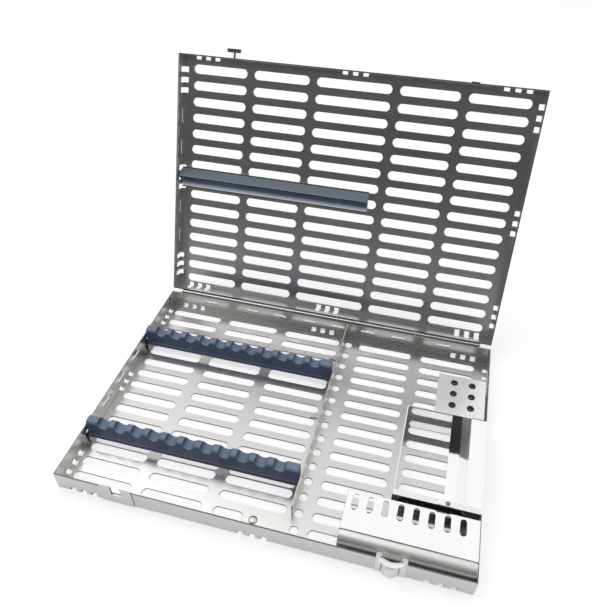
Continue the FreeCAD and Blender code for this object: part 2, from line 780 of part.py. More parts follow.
def front_box():
    """Two fixed side plates, the slotted cover that turns on them, and its pivots."""
    inner = "(roll_radius - thin_metal - soft_gap)"
    sides = (
        ("front_box_left_side", "cover_left + thin_metal + soft_gap"),
        ("front_box_right_side", f"{COVER_RIGHT} - 2 * thin_metal - soft_gap"),
    )
    pins = []
    for label, left in sides:
        plate = round_plate(left, "thin_metal", "cover_rear", "metal", inner)
        bore = seat(lay_across(rod("pivot_radius", "4 * thin_metal")), f"{left} - thin_metal", ROLL_BACK, ROLL_UP)
        keep(cut(plate, bore), label)
    ends = (
        ("cover_left", "cover_left + 2 * thin_metal + soft_gap"),
        (f"{COVER_RIGHT} - 2 * thin_metal - soft_gap", f"{COVER_RIGHT} - 2 * thin_metal - soft_gap - pivot_head_depth"),
    )
    for shank_left, head_left in ends:
        shank = seat(lay_across(rod("pivot_radius", "2 * thin_metal + soft_gap")), shank_left, ROLL_BACK, ROLL_UP)
        head = seat(lay_across(prism("pivot_head", "pivot_head_depth")), head_left, ROLL_BACK, ROLL_UP)
        pins.append(fuse(shank, head))
    keep(group(*pins), "cover_pivots")


def front_box_cover():
    """The slotted cover: a flat top lapped on a rolled front, and a cheek at each end."""
    wide = f"({COVER_RIGHT} - cover_left)"
    roll = lay_across(rod("roll_radius", wide))
    hollow = lay_across(rod("roll_radius - thin_metal", f"{wide} + 2"))
    seat(roll, "cover_left", ROLL_BACK, ROLL_UP)
    seat(hollow, "cover_left - 1", ROLL_BACK, ROLL_UP)
    quarter = box(f"{wide} + 2", "roll_radius + 1", "roll_radius + 1")
    seat(quarter, "cover_left - 1", f"{ROLL_BACK} - roll_radius - 1", ROLL_UP)
    bend = doc.addObject("Part::Common", "bend")
    bend.Base = cut(roll, hollow)
    bend.Tool = quarter
    lap = seat(box(wide, "roll_lap", "thin_metal"), "cover_left", ROLL_BACK, "cover_top - 2 * thin_metal")
    edge = f"({ROLL_BACK} + cover_step)"
    top = sheet_body("XY", wide, f"cover_rear - {edge}", "thin_metal")
    slots = new_sketch(top, "XY")
    start = f"cover_slot_front - {edge} + cover_slot_breadth / 2"
    add_upright_slot(slots, "cover_slot_first", start, "cover_slot_length", "cover_slot_breadth")
    repeat(top, pocket(top, slots, "thin_metal", "XY"), "H_Axis", "cover_slot_pitch", "cover_slot_count")
    seat(top, "cover_left", edge, "cover_top - thin_metal")
    parts = [bend, lap, top]
    for left in ("cover_left", f"{COVER_RIGHT} - thin_metal"):
        parts.append(round_plate(left, "thin_metal", f"{ROLL_BACK} + cheek_reach", ROLL_UP, "roll_radius"))
    bore = seat(lay_across(rod("pivot_radius + running_gap", f"{wide} + 2")), "cover_left - 1", ROLL_BACK, ROLL_UP)
    keep(cut(fuse(*parts), bore), "front_box_cover")


def window_plate(place, breadth, window, sill, low, high):
    """A plate on the front wall's outer face with an opening between two ears."""
    plate = seat(box(breadth, "thin_metal", f"{high} - {low}"), f"{place} - {breadth} / 2", "-thin_metal", low)
    hole = seat(box(window, "3 * thin_metal", high), f"{place} - {window} / 2", "-2 * thin_metal", sill)
    return cut(plate, hole)


def bowed(chord, rise, low, height, hollow_by=None):
    """An upright piece that bows outwards from the latch's plate: solid, or a thin band."""
    radius = f"((({chord}) / 2 * ({chord}) / 2 + {rise} * {rise}) / (2 * {rise}))"
    centre = f"({radius} - {rise} - thin_metal)"
    whole = seat(rod(radius, height), "latch_place", centre, low)
    if hollow_by:
        core = seat(rod(f"{radius} - {hollow_by}", f"{height} + 2"), "latch_place", centre, f"{low} - 1")
        whole = cut(whole, core)
    front = box(f"{chord} + 2", f"{rise} + 1", f"{height} + 2")
    seat(front, f"latch_place - ({chord}) / 2 - 1", f"-{rise} - thin_metal - 1", f"{low} - 1")
    segment = doc.addObject("Part::Common", "segment")
    segment.Base = whole
    segment.Tool = front
    return segment


def latch():
    """The latch's plate, its push button and the arched band above it."""
    plate = window_plate("latch_place", "latch_breadth", "latch_window", "latch_sill", "thin_metal / 2", "latch_top")
    keep(plate, "latch_bracket")
    wide = "(latch_window - 2 * soft_gap)"
    bulge = bowed(wide, "button_rise", "button_sill", "button_height")
    stem = box(wide, "thin_metal + running_gap", "button_height")
    seat(stem, f"latch_place - {wide} / 2", "-thin_metal", "button_sill")
    broad = "(latch_window + 2 * flange_overlap)"
    flange = seat(box(broad, "button_flange", "button_height + flange_overlap"), f"latch_place - {broad} / 2",
                  "running_gap", "button_sill - flange_overlap")
    keep(fuse(bulge, stem, flange), "latch_button")
    band = bowed("(latch_window + 2 * spring_lap)", "(spring_rise + thin_metal)", "spring_sill", "spring_height",
                 hollow_by="thin_metal")
    keep(band, "latch_spring")


def receiver_bracket():
    """The plate on the left whose notch takes the lid's locating stud."""
    plate = window_plate("receiver_place", "receiver_breadth", "receiver_notch", "receiver_sill",
                         "thin_metal / 2", "receiver_top")
    keep(plate, "receiver_bracket")


def lid_fittings():
    """The stud that drops into the receiver and the tab that the latch holds."""
    edge = f"(hinge_offset + {LID_DEPTH})"
    lift = f"(- {LID_EDGE} - stud_lift)"
    stem = rod("stud_radius", "stud_reach + stud_head_depth / 2")
    hang(stem, "receiver_place", edge, lift, turn="90 - lid_angle")
    head = box("stud_head", "stud_head_depth", "stud_head_height")
    hang(head, "receiver_place - stud_head / 2", f"{edge} + stud_reach", f"{lift} - stud_head_height / 2")
    keep(fuse(stem, head), "locating_stud")
    tab = box("tab_breadth", "thin_metal", "tab_drop + tab_rise")
    hang(tab, "latch_place - tab_breadth / 2", edge, f"- {LID_EDGE} - tab_rise")
    keep(tab, "lid_catch_tab")


def floor_stud():
    back = "floor_first_row"
    shank = seat(rod("floor_stud_shank", "metal"), "floor_stud_place", back, "0")
    head = seat(prism("floor_stud_radius", "floor_stud_height"), "floor_stud_place", back, "metal")
    keep(fuse(shank, head), "floor_stud")


base_floor()
base_front_wall()
base_rear_wall()
base_side_wall("base_left_wall", "0")
base_side_wall("base_right_wall", "width - metal")
lid_panel()
lid_long_flange("lid_rear_flange", "hinge_offset")
lid_long_flange("lid_front_flange", f"hinge_offset + {LID_DEPTH} - metal")
lid_side_flange("lid_left_flange", "0")
lid_side_flange("lid_right_flange", "width - metal")
base_hinges()
lid_hinges()
hinge_pins()
lid_stops()
silicone_rail("front_rail", "front_rail_place")
silicone_rail("rear_rail", "rear_rail_place")
rail_channel("front_rail_channel", "front_rail_place")
rail_channel("rear_rail_channel", "rear_rail_place")
divider()
lid_bar()
bur_plate()
bur_grommets()
accessory_walls()
catch()
front_box()
front_box_cover()
latch()
receiver_bracket()
lid_fittings()
floor_stud()
doc.recompute()

for thing in pieces:
    solid = thing.Shape
    faulty = [state for state in thing.State if state in ("Invalid", "Error")]
    if faulty or solid.isNull() or not solid.isValid():
        raise RuntimeError(f"{thing.Label} did not build: {thing.State}")
for thing in doc.Objects:
    if "Invalid" in thing.State or "Error" in thing.State:
        raise RuntimeError(f"{thing.Name} did not build: {thing.State}")
os.makedirs("parts", exist_ok=True)
for thing in pieces:
    thing.Shape.exportStep(f"parts/{thing.Label}.step")
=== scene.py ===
import json
import math

import bmesh
import bpy
from mathutils import Matrix, Vector


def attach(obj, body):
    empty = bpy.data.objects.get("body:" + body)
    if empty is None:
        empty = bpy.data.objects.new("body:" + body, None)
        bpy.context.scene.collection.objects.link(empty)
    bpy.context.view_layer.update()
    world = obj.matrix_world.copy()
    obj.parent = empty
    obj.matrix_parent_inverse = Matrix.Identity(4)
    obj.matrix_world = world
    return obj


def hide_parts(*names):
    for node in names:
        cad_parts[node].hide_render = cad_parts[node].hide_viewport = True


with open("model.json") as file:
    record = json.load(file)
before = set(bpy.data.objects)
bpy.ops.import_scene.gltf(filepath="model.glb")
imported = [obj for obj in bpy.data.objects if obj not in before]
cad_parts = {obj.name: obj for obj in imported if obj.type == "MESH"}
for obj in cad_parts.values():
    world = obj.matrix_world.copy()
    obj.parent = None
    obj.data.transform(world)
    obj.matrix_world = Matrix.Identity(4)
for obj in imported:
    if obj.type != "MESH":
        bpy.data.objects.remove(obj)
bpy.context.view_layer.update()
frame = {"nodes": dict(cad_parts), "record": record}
MM = 0.001

# Directions. The lid's own two are those of the open lid, as in the frame at rest.
LEAN = math.radians(110.5)
ACROSS = Vector((1, 0, 0))
BACK = Vector((0, 1, 0))
UP = Vector((0, 0, 1))
LID_OUT = Vector((0, -math.cos(LEAN), math.sin(LEAN)))
LID_LIFT = Vector((0, -math.sin(LEAN), -math.cos(LEAN)))

# Sizes in mm.
TRAY_WIDTH, TRAY_DEPTH = 280, 198
METAL, THIN_METAL = 1.0, 0.8
HINGE_BACK, HINGE_UP = 199.6, 15.2
PANEL_OUT, PANEL_LIFT, LID_FRONT_OUT = 2.6, -14.2, 199.4
SLOT_ROWS, SLOT_BREADTH = 15, 6.9
VENT_LENGTH, VENT_BREADTH, VENT_UP = 12, 2.6, 9
WALL_VENT_STEP, SIDE_VENT_STEP, FLANGE_VENT_STEP = 26, 25, 25.5
SCALLOPS, SCALLOP_PITCH, SCALLOP_RADIUS = 11, 13.1, 4.5
RAIL_BREADTH, RAIL_HEIGHT, RAIL_ROUNDING = 8, 19.4, 3
BAR_LENGTH = 161.5
COVER_LEFT, COVER_WIDTH, COVER_TOP = 194.6, 84.1, 19.6
ROLL_BACK, ROLL_UP, ROLL_RADIUS = 9.5, 12.2, 7.4
LATCH_ACROSS = 229
CATCH_ACROSS, CATCH_BACK = 257.4, 41.5
RING_COLUMNS, RING_ROWS = 2, 3
RING_PITCH_ACROSS, RING_PITCH_BACK = 13.3, 11.1
SHEET_EASE, PLATE_EASE = 0.14, 0.15

# Object coordinates in metres that the silicone's colour bands follow: the pale line at the rails'
# foot, and the bar's painted highlights and painted shade.
SEAM_LOW, SEAM_HIGH = 0.0080, 0.0086
BAR_FOOT, BAR_HEIGHT = 0.14297, 0.0150

SLOT_CORNERS = 24
SEED_NUMBERS = ("long", "broad", "skip", "take")


def linked(name, data):
    """A new object, put into the scene."""
    made = bpy.data.objects.new(name, data)
    bpy.context.scene.collection.objects.link(made)
    return made


class Wire:
    """An output socket that sums, differences, products and quotients can be written with."""

    def __init__(self, net, socket):
        self.net = net
        self.socket = socket

    def combine(self, operation, other, turned=False):
        pair = (other, self) if turned else (self, other)
        return self.net.node("ShaderNodeMath", {"operation": operation}, {0: pair[0], 1: pair[1]})

    def __add__(self, other):
        return self.combine("ADD", other)

    def __radd__(self, other):
        return self.combine("ADD", other, turned=True)

    def __sub__(self, other):
        return self.combine("SUBTRACT", other)

    def __rsub__(self, other):
        return self.combine("SUBTRACT", other, turned=True)

    def __mul__(self, other):
        return self.combine("MULTIPLY", other)

    def __rmul__(self, other):
        return self.combine("MULTIPLY", other, turned=True)

    def __truediv__(self, other):
        return self.combine("DIVIDE", other)

    def __rtruediv__(self, other):
        return self.combine("DIVIDE", other, turned=True)

    def above(self, other):
        """1 where this value is above the other one, and 0 elsewhere."""
        return self.combine("GREATER_THAN", other)

    def kept(self, low=0.0, high=1.0):
        """This value, held between two limits."""
        return self.net.node("ShaderNodeClamp", {}, {0: self, 1: low, 2: high})


class Net:
    """A tree of nodes, written as expressions."""

    def __init__(self, tree):
        self.tree = tree

    def node(self, kind, settings, inputs, output=0):
        made = self.tree.nodes.new(kind)
        for key, value in settings.items():
            if key == "stops":
                self.set_stops(made.color_ramp, value)
            else:
                setattr(made, key, value)
        for key, value in inputs.items():
            self.feed(made.inputs[key], value)
        return Wire(self, made.outputs[output])

    def feed(self, socket, value):
        if isinstance(value, Wire):
            self.tree.links.new(value.socket, socket)
        else:
            socket.default_value = value

    def set_stops(self, ramp, stops):
        while len(ramp.elements) < len(stops):
            ramp.elements.new(0.5)
        for element, (place, colour) in zip(ramp.elements, stops):
            element.position = place
            element.color = (*colour, 1)


class Shader(Net):
    """A material and its nodes."""

    def __init__(self, name):
        self.material = bpy.data.materials.new(name)
        self.material.use_nodes = True
        super().__init__(self.material.node_tree)
        self.surface = self.tree.nodes["Principled BSDF"]

    def place(self, turn=(0, 0, 0), stretch=(1, 1, 1)):
        """Object coordinates, turned and stretched."""
        here = self.node("ShaderNodeTexCoord", {}, {}, "Object")
        inputs = {"Vector": here, "Rotation": turn, "Scale": stretch}
        return self.node("ShaderNodeMapping", {}, inputs)

    def noise(self, at, scale, detail, rough):
        inputs = {"Vector": at, "Scale": scale, "Detail": detail, "Roughness": rough}
        return self.node("ShaderNodeTexNoise", {}, inputs)

    def ramp(self, value, *stops):
        return self.node("ShaderNodeValToRGB", {"stops": stops}, {0: value})

    def mix(self, share, first, second):
        inputs = {"Factor": share, 6: first, 7: second}
        return self.node("ShaderNodeMix", {"data_type": "RGBA"}, inputs, 2)

    def bump(self, height, depth, strength):
        inputs = {"Strength": strength, "Distance": depth, "Height": height}
        return self.node("ShaderNodeBump", {}, inputs)

    def finish(self, **values):
        for key, value in values.items():
            self.feed(self.surface.inputs[key.replace("_", " ")], value)
        return self.material


class Recipe(Net):
    """A geometry tree with named inputs that makes one plain mesh."""

    def __init__(self, name):
        super().__init__(bpy.data.node_groups.new(name, "GeometryNodeTree"))
        for way in ("INPUT", "OUTPUT"):
            self.tree.interface.new_socket("Geometry", in_out=way, socket_type="NodeSocketGeometry")
        self.entry = self.tree.nodes.new("NodeGroupInput")
        self.exit = self.tree.nodes.new("NodeGroupOutput")
        self.keys = {}

    def ask(self, name, kind):
        """A named input of the tree."""
        socket_type = "NodeSocket" + kind
        item = self.tree.interface.new_socket(name, in_out="INPUT", socket_type=socket_type)
        self.keys[name] = item.identifier
        return Wire(self, self.entry.outputs[name])

    def base(self):
        return Wire(self, self.entry.outputs["Geometry"])

    def stored(self, name):
        """A number that the points carry."""
        return self.node("GeometryNodeInputNamedAttribute", {"data_type": "FLOAT"}, {"Name": name})

    def store(self, shape, name, value):
        settings = {"data_type": "FLOAT", "domain": "POINT"}
        inputs = {"Geometry": shape, "Name": name, "Value": value}
        return self.node("GeometryNodeStoreNamedAttribute", settings, inputs)

    def vector(self, across=0.0, along=0.0, up=0.0):
        return self.node("ShaderNodeCombineXYZ", {}, {0: across, 1: along, 2: up})

    def across(self):
        """Each point's own x."""
        here = self.node("GeometryNodeInputPosition", {}, {})
        return self.node("ShaderNodeSeparateXYZ", {}, {0: here})

    def joined(self, *shapes):
        made = self.tree.nodes.new("GeometryNodeJoinGeometry")
        for shape in shapes:
            self.tree.links.new(shape.socket, made.inputs[0])
        return Wire(self, made.outputs[0])

    def copies(self, points, unit, **inputs):
        """A copy of the unit at each point, made real."""
        wanted = {"Points": points, "Instance": unit, **inputs}
        return self.realised(self.node("GeometryNodeInstanceOnPoints", {}, wanted))

    def realised(self, shape):
        return self.node("GeometryNodeRealizeInstances", {}, {0: shape})

    def moved(self, shape, offset):
        inputs = {"Geometry": shape, "Offset": offset}
        return self.node("GeometryNodeSetPosition", {}, inputs)

    def merged(self, shape, distance):
        inputs = {"Geometry": shape, "Distance": distance}
        return self.node("GeometryNodeMergeByDistance", {}, inputs)

    def close(self, shape, sides=None):
        """Makes the copies real and gives them their finish. Cut sides can have one of their own."""
        finish = self.ask("Finish", "Material")
        inputs = {"Geometry": self.realised(shape), "Material": finish}
        dressed = self.node("GeometryNodeSetMaterial", {}, inputs)
        if sides:
            cut = self.ask("Edge Finish", "Material")
            inputs = {"Geometry": dressed, "Selection": sides, "Material": cut}
            dressed = self.node("GeometryNodeSetMaterial", {}, inputs)
        self.tree.links.new(dressed.socket, self.exit.inputs[0])

    def grow(self, base, **values):
        """The plain mesh that the tree makes from a base mesh."""
        sprout = linked("sprout", base)
        change = sprout.modifiers.new("recipe", "NODES")
        change.node_group = self.tree
        for name, value in values.items():
            change[self.keys[name.replace("_", " ")]] = value
        grown = sprout.evaluated_get(bpy.context.evaluated_depsgraph_get())
        mesh = bpy.data.meshes.new_from_object(grown)
        bpy.data.objects.remove(sprout)
        return mesh


def grey(level, tint):
    """A grey a little towards blue."""
    return (level * (1 - tint), level, level * (1 + tint))


def opaque(tone, strength=1.0):
    """A colour at some strength, with full cover."""
    return (*(part * strength for part in tone), 1)


def satin_sheet(name, tone, rough):
    """Rolled stainless sheet: fine grain along one way, soft clouds and a few wipe marks."""
    shader = Shader(name)
    grain = shader.noise(shader.place(stretch=(40, 900, 900)), 4.0, 4.0, 0.65)
    clouds = shader.noise(shader.place(stretch=(14, 14, 14)), 1.6, 4.0, 0.6)
    wipes = shader.noise(shader.place((0, 0, 0.5), (9, 130, 60)), 1.0, 3.0, 0.5)
    shade = (grain - 0.5) * 0.16 + (clouds - 0.5) * 0.14
    colour = shader.mix((shade + 0.5).kept(), opaque(tone, 0.78), opaque(tone, 1.12))
    roughness = rough + (clouds - 0.5) * 0.06 + (wipes - 0.5) * 0.05 + (grain - 0.5) * 0.05
    roughness = roughness.kept(0.05, 1)
    normal = shader.bump(grain, 0.00004, 0.5)
    return shader.finish(Base_Color=colour, Metallic=1.0, Roughness=roughness, Normal=normal)


def mirror_sheet(name, level, rough):
    """Polished stainless with hairline scratches and a slight waviness."""
    shader = Shader(name)
    waves = shader.noise(shader.place(), 22.0, 2.0, 0.5)
    hairs = shader.noise(shader.place((0, 0, 0.6), (30, 1500, 1500)), 2.0, 3.0, 0.6)
    marks = shader.noise(shader.place(), 120.0, 4.0, 0.6)
    colour = shader.mix(marks, opaque(grey(level * 0.95, 0.01)), opaque(grey(level * 1.03, 0.012)))
    roughness = (rough + (hairs - 0.5) * 0.06 + (marks - 0.5) * 0.05).kept(0.02, 1)
    normal = shader.bump(waves + hairs * 0.02, 0.0002, 0.35)
    return shader.finish(Base_Color=colour, Metallic=1.0, Roughness=roughness, Normal=normal)


def rubbery(shader, colour, rough):
    """The fine, uneven bloom that silicone carries."""
    bloom = shader.noise(shader.place(), 260.0, 4.0, 0.6)
    roughness = (rough + (bloom - 0.5) * 0.2).kept(0.2, 1)
    normal = shader.bump(bloom, 0.00006, 0.4)
    return shader.finish(Base_Color=colour, Roughness=roughness, Normal=normal, IOR=1.43)


def moulded_silicone(name, deep, sheen_and_seam_tone):
    """Silicone with a painted sheen: paler where it faces up, as if lit from above; with a pale line
    where it meets its channel.
    """
    shader = Shader(name)
    blotch = shader.noise(shader.place(), 40.0, 3.0, 0.5)
    facing = shader.node("ShaderNodeNewGeometry", {}, {}, "Normal")
    up = shader.node("ShaderNodeSeparateXYZ", {}, {0: facing}, 2)
    # Painted sheen: faces that look up are made paler, unevenly.
    pale = ((up - 0.25) * 1.5).kept() * (0.75 + (blotch - 0.5) * 0.5)
    high = shader.node("ShaderNodeSeparateXYZ", {}, {0: shader.place()}, 2)
    seam = (SEAM_HIGH - high).above(0.0) * (high - SEAM_LOW).above(0.0) * 0.5
    below = (SEAM_LOW - high).above(0.0) * 0.16
    colour = shader.mix((pale + (seam + below)).kept(), opaque(deep), opaque(sheen_and_seam_tone))
    return rubbery(shader, colour, 0.42)


def bar_silicone(name):
    """The bar's silicone, with painted light by height: a painted highlight at its lower edge and at
    the ridge's tip, painted shade under the ridge, slate above it.
    """
    shader = Shader(name)
    here = shader.node("ShaderNodeTexCoord", {}, {}, "Object")
    along = {0: here, 1: tuple(LID_OUT)}
    climb = shader.node("ShaderNodeVectorMath", {"operation": "DOT_PRODUCT"}, along, 1)
    blotch = shader.noise(shader.place(), 34.0, 3.0, 0.5)
    share = (climb - BAR_FOOT) / BAR_HEIGHT + (blotch - 0.5) * 0.05
    # Painted light along the bar's height: pale lower edge, dark shaded band under the ridge, a thin
    # pale highlight at the ridge's tip.
    colour = shader.ramp(
        share,
        (0.0, (0.85, 0.90, 0.97)),
        (0.12, (0.42, 0.49, 0.58)),
        (0.26, (0.08, 0.115, 0.18)),
        (0.42, (0.012, 0.024, 0.06)),
        (0.60, (0.003, 0.007, 0.022)),
        (0.63, (0.30, 0.36, 0.41)),
        (0.67, (0.13, 0.17, 0.20)),
        (1.0, (0.15, 0.19, 0.215)),
    )
    return rubbery(shader, colour, 0.45)


tray_finish = satin_sheet("tray_sheet_steel", (0.58, 0.57, 0.55), 0.27)
# Painted light: the floor is a lighter copy of the tray's steel, since it faces up to the light.
lit_floor_finish = satin_sheet("tray_floor_steel", (0.70, 0.69, 0.675), 0.24)
# Painted shade: the cut sides of the sheets and slots are made dark, as if in shade.
shaded_edge_finish = satin_sheet("cut_edge_steel", (0.16, 0.155, 0.155), 0.5)
lid_finish = satin_sheet("lid_sheet_steel", (0.62, 0.60, 0.612), 0.29)
pale_finish = satin_sheet("pale_satin_steel", (0.90, 0.90, 0.90), 0.24)
soft_finish = satin_sheet("soft_satin_steel", (0.72, 0.71, 0.69), 0.42)
polish = mirror_sheet("polished_steel", 0.84, 0.07)
# Painted light: a lighter copy of the polished steel for the cover's top and the shelf, which face up
# to the light.
lit_polish = mirror_sheet("bright_polished_steel", 0.96, 0.10)
rivet_metal = mirror_sheet("rivet_metal", 0.20, 0.25)
# The second colour of each silicone is its painted sheen where it faces up, and the pale line and band
# at its foot.
silicone = moulded_silicone("navy_silicone", (0.034, 0.056, 0.120), (0.21, 0.28, 0.37))
black_silicone = moulded_silicone("black_silicone", (0.006, 0.007, 0.010), (0.022, 0.024, 0.030))
bar_finish = bar_silicone("bar_silicone")

FINISH_OF_SLOT = {
    "tray_steel": tray_finish,
    "lid_steel": lid_finish,
    "polished_steel": polish,
    "navy_silicone": silicone,
}
SLOT_OF_NODE = {row["node"]: row["material_slot"] for row in frame["record"]["subparts"]}
FINISH_OF_NODE = {
    "bur_plate": pale_finish,
    "accessory_right_shelf": lit_polish,
    "receiver_bracket": tray_finish,
}
for node, piece in frame["nodes"].items():
    piece.data.materials.clear()
    piece.data.materials.append(FINISH_OF_NODE.get(node, FINISH_OF_SLOT[SLOT_OF_NODE[node]]))


def tray_spot(across, back, up):
    """A point in metres, given in mm from the tray's front left corner."""
    return Vector((across - TRAY_WIDTH / 2, back - TRAY_DEPTH / 2, up)) * MM


def lid_spot(across, out, lift):
    """A point of the open lid: out from the hinge line, lift to the inside."""
    return tray_spot(across, HINGE_BACK, HINGE_UP) + (LID_OUT * out + LID_LIFT * lift) * MM


def frame_at(origin, along, up):
    """A frame in mm. Its x runs along, its y up and its z out of both."""
    turned = Matrix((along, up, along.cross(up))).transposed().to_4x4()
    return Matrix.Translation(origin) @ turned @ Matrix.Scale(MM, 4)


def round_shaded(mesh, degrees):
    """Smooth shading that stops at edges sharper than so many degrees."""
    mesh.polygons.foreach_set("use_smooth", [True] * len(mesh.polygons))
    mesh.set_sharp_from_angle(angle=math.radians(degrees))


def eased(made, width, steps=1):
    """Takes the sharpness off a piece's edges."""
    edge = made.modifiers.new("eased_edges", "BEVEL")
    edge.width = width * MM
    edge.segments = steps
    edge.limit_method = "ANGLE"
    edge.angle_limit = math.radians(40)
    return made


def plane_loops(node, frame_here):
    """The closed outlines of a solid's face that lies in a frame's own plane.

    Each one starts at its lowest corner and takes the lower way round, the same in every run.
    """
    inverse = frame_here.inverted()
    shape = bmesh.new()
    shape.from_mesh(frame["nodes"][node].data)
    bmesh.ops.transform(shape, matrix=inverse @ frame["nodes"][node].matrix_world, verts=shape.verts)
    bmesh.ops.remove_doubles(shape, verts=shape.verts, dist=0.001)
    flat = {face for face in shape.faces if all(abs(corner.co.z) < 0.01 for corner in face.verts)}
    rim = [edge for edge in shape.edges if sum(face in flat for face in edge.link_faces) == 1]
    following = {}
    for edge in rim:
        for start, end in (edge.verts, reversed(edge.verts)):
            following.setdefault(start, []).append(end)

    def place_in_order(corner):
        return (round(corner.co.x, 2), round(corner.co.y, 2))

    loops = []
    left = sorted(following, key=place_in_order)
    while left:
        loop = [left.pop(0)]
        while True:
            ahead = [corner for corner in following[loop[-1]] if corner in left]
            if not ahead:
                break
            loop.append(min(ahead, key=place_in_order))
            left.remove(loop[-1])
        loops.append([(corner.co.x, corner.co.y) for corner in loop])
    shape.free()
    return loops


def straightened(loop):
    """A loop without the corners that lie on a straight run."""
    kept = []
    for k, (x, y) in enumerate(loop):
        before = loop[k - 1]
        after = loop[(k + 1) % len(loop)]
        bend = (x - before[0]) * (after[1] - y) - (y - before[1]) * (after[0] - x)
        if abs(bend) > 0.001:
            kept.append((x, y))
    return kept


def sheet_base(name, loops, seeds):
    """Outlines as chains of edges, and a loose point for each column of slots."""
    points = []
    edges = []
    for loop in loops:
        first = len(points)
        points += [(x, y, 0) for x, y in loop]
        edges += [(first + k, first + (k + 1) % len(loop)) for k in range(len(loop))]
    first = len(points)
    points += [(seed["at"][0], seed["at"][1], 0) for seed in seeds]
    mesh = bpy.data.meshes.new(name)
    mesh.from_pydata(points, edges, [])
    for key in SEED_NUMBERS:
        values = mesh.attributes.new(key, "FLOAT", "POINT")
        for k, seed in enumerate(seeds):
            values.data[first + k].value = seed[key]
    return mesh


def seed(x, y, long, broad, take=99, skip=0):
    """The first slot of a row: its middle, its size, and which copies are used."""
    return {"at": (x, y), "long": long, "broad": broad, "take": take, "skip": skip}


def perforated_sheet_recipe():
    """A sheet with rows of round-ended slots. Each loose point of the base starts one row."""
    tree = Recipe("perforated_sheet")
    count = tree.ask("Count", "Int")
    step = tree.ask("Step", "Vector")
    thickness = tree.ask("Thickness", "Float")
    starts = tree.node("GeometryNodeSeparateGeometry", {"domain": "POINT"},
                       {0: tree.base(), 1: tree.stored("broad").above(0.01)})
    spacing = {"Count": count, "Offset": step}
    row = tree.node("GeometryNodeMeshLine", {"mode": "OFFSET"}, spacing)
    row = tree.store(row, "turn", tree.node("GeometryNodeInputIndex", {}, {}))
    spots = tree.copies(starts, row)
    turn = tree.stored("turn") + 0.5
    last = tree.stored("skip") + tree.stored("take")
    used = {0: spots, 1: turn.above(tree.stored("skip")) * last.above(turn)}
    spots = tree.node("GeometryNodeSeparateGeometry", {"domain": "POINT"}, used)
    ring = tree.node("GeometryNodeCurvePrimitiveCircle", {"mode": "RADIUS"}, {0: SLOT_CORNERS, 4: 0.5})
    ring = tree.node("GeometryNodeTransform", {}, {0: ring, 2: (0, 0, math.pi / SLOT_CORNERS)})
    ring = tree.store(ring, "side", tree.across().combine("SIGN", 0.0))
    broad = tree.stored("broad")
    slots = tree.copies(spots, ring, Scale=tree.vector(broad, broad, broad))
    slots = tree.moved(slots, tree.vector(tree.stored("side") * (tree.stored("long") - broad) * 0.5))
    rim = tree.node("GeometryNodeMeshToCurve", {}, {0: tree.base()})
    face = tree.node("GeometryNodeFillCurve", {"mode": "TRIANGLES"}, {0: tree.joined(rim, slots)})
    thick = tree.node("GeometryNodeExtrudeMesh", {"mode": "FACES"},
                      {"Mesh": face, "Offset Scale": thickness, "Individual": False})
    sides = Wire(tree, thick.socket.node.outputs["Side"])
    under = tree.node("GeometryNodeFlipFaces", {}, {0: face})
    tree.close(tree.merged(tree.joined(under, thick), 0.001), sides)
    return tree


def row_recipe():
    """Copies of one unit in a row, welded, with the two ends drawn out."""
    tree = Recipe("welded_row")
    count = tree.ask("Count", "Int")
    pitch = tree.ask("Pitch", "Float")
    end = tree.ask("End", "Float")
    spacing = {"Count": count, "Offset": tree.vector(pitch)}
    line = tree.node("GeometryNodeMeshLine", {"mode": "OFFSET"}, spacing)
    whole = tree.merged(tree.copies(line, tree.base()), 0.001)
    x = tree.across()
    first = (pitch * -0.5 + 0.01).above(x)
    last = x.above(pitch * (count - 0.5) - 0.01)
    tree.close(tree.moved(whole, tree.vector((last - first) * end)))
    return tree


def grid_recipe():
    """Copies of one unit on a grid."""
    tree = Recipe("grid_of_copies")
    columns = tree.ask("Columns", "Int")
    rows = tree.ask("Rows", "Int")
    across = tree.ask("Pitch Across", "Float")
    back = tree.ask("Pitch Back", "Float")
    extent = {0: across * (columns - 1), 1: back * (rows - 1), 2: columns, 3: rows}
    tree.close(tree.copies(tree.node("GeometryNodeMeshGrid", {}, extent), tree.base()))
    return tree


def cleared(mesh):
    """Drops the numbers that only the tree needed."""
    for key in (*SEED_NUMBERS, "turn", "side"):
        if key in mesh.attributes:
            mesh.attributes.remove(mesh.attributes[key])
    return mesh


def body_of(node):
    bodies = frame["record"]["behaviour"]["bodies"]
    return next(name for name, nodes in bodies.items() if node in nodes)


def piece_for(node, name, mesh, place, shade=35):
    """A finished mesh in mm, put in its place, that stands for a solid on the solid's body."""
    mesh.transform(place)
    round_shaded(mesh, shade)
    made = linked(name, mesh)
    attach(made, body_of(node))
    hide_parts(node)
    return made


perforated = perforated_sheet_recipe()


def sheet_piece(node, place, seeds, count, step, finish):
    """A flat sheet with the solid's own outline and smooth slots."""
    loops = [straightened(loop) for loop in plane_loops(node, place)]
    loops.sort(key=lambda loop: max(x for x, y in loop) - min(x for x, y in loop), reverse=True)
    outlines = [loops[0]] + [loop for loop in loops[1:] if len(loop) == 4]
    base = sheet_base(node + "_base", outlines, seeds)
    mesh = perforated.grow(base, Count=count, Step=step, Thickness=METAL, Finish=finish,
                           Edge_Finish=shaded_edge_finish)
    return eased(piece_for(node, node + "_sheet", cleared(mesh), place), SHEET_EASE)


def vents(x, y, take=99):
    """The first slim vent of a row."""
    return seed(x, y, VENT_LENGTH, VENT_BREADTH, take)


